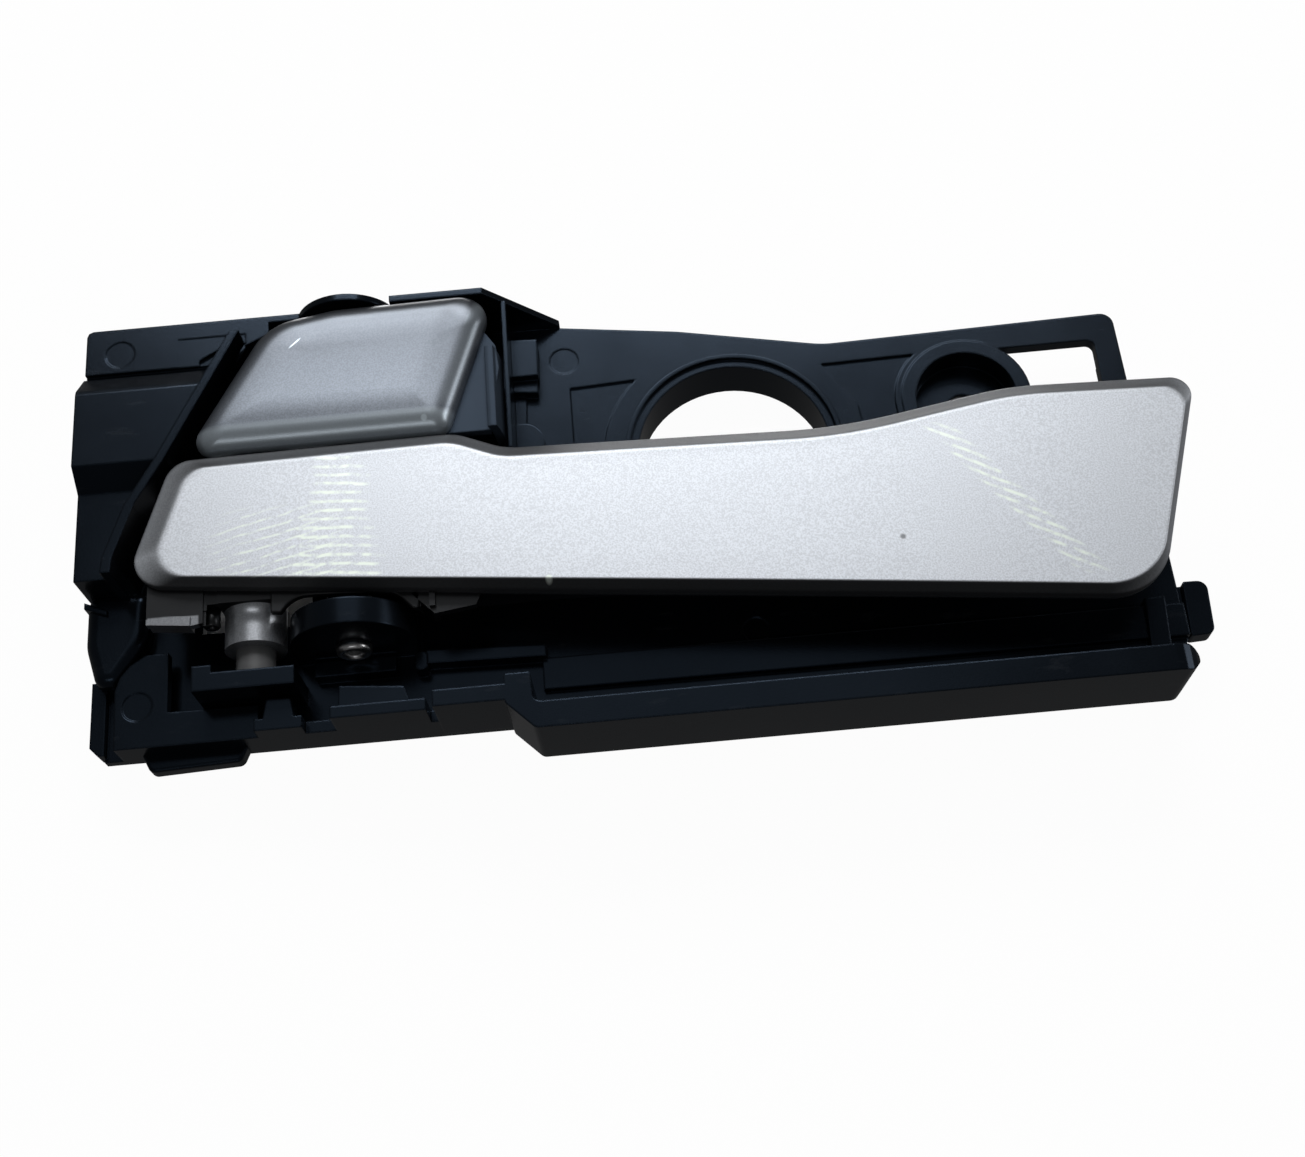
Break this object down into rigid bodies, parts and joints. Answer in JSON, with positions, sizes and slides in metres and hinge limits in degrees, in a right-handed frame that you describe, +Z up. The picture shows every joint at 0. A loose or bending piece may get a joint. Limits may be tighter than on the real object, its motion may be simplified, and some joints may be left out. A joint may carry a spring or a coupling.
{
  "type": "car interior door handle",
  "caption": "Interior door release with a long silver pull handle, a rocking lock knob above it and a black base moulding with a screw cup and an access hole.",
  "frame": {"origin": "centre of the fixing screw hole in the plane that seats on the door panel", "axes": "+X along the handle towards its free end, +Y from the cabin into the door, +Z up"},
  "size_m": [0.2035, 0.0271, 0.0905],
  "materials": {
    "black_satin_plastic": "satin blue-black moulded plastic",
    "silver_paint": "bright silver metallic paint over moulded plastic",
    "dark_silver_paint": "darker silver metallic paint over moulded plastic",
    "bright_steel": "bright turned steel",
    "spring_steel": "drawn spring steel",
    "zinc_steel": "zinc-plated steel",
    "grey_plastic": "mid-grey low-friction plastic",
    "black_plastic": "satin black plastic",
    "natural_plastic": "natural off-white plastic",
    "black_rubber": "matt black rubber",
    "felt": "dark grey adhesive felt"
  },
  "bodies": {
    "housing": {"base_housing": "black_satin_plastic", "handle_hinge_pin": "bright_steel", "hinge_pin_clip": "spring_steel", "lower_hinge_bush": "grey_plastic", "upper_hinge_bush": "grey_plastic", "handle_return_spring": "spring_steel", "handle_rest_buffer": "black_rubber", "pull_stop_buffer": "black_rubber", "lock_pivot_pin": "bright_steel", "lock_pin_clip": "spring_steel", "lock_over_centre_spring": "spring_steel", "release_sheath_clip": "natural_plastic", "lock_sheath_clip": "natural_plastic", "fixing_sleeve": "zinc_steel", "rear_felt_pads": "felt"},
    "handle": {"release_handle": "silver_paint", "release_cable_clip": "natural_plastic"},
    "lock": {"lock_knob": "dark_silver_paint", "lock_lever": "black_plastic", "lock_cable_clip": "natural_plastic", "lock_lever_screws": "zinc_steel"}
  },
  "joints": [
    {"name": "handle_swing", "type": "hinge", "parent": "housing", "child": "handle", "pos_m": [-0.1345, -0.0158, -0.03], "axis": [0, 0, -1], "range_deg": [0, 22], "stiffness_Nm_per_rad": 0.15, "springref_deg": -34.38, "deforming": ["handle_return_spring"]},
    {"name": "lock_swing", "type": "hinge", "parent": "housing", "child": "lock", "pos_m": [-0.117, -0.0158, 0.008], "axis": [0, 0, -1], "range_deg": [0, 14], "deforming": ["lock_over_centre_spring"]}
  ]
}
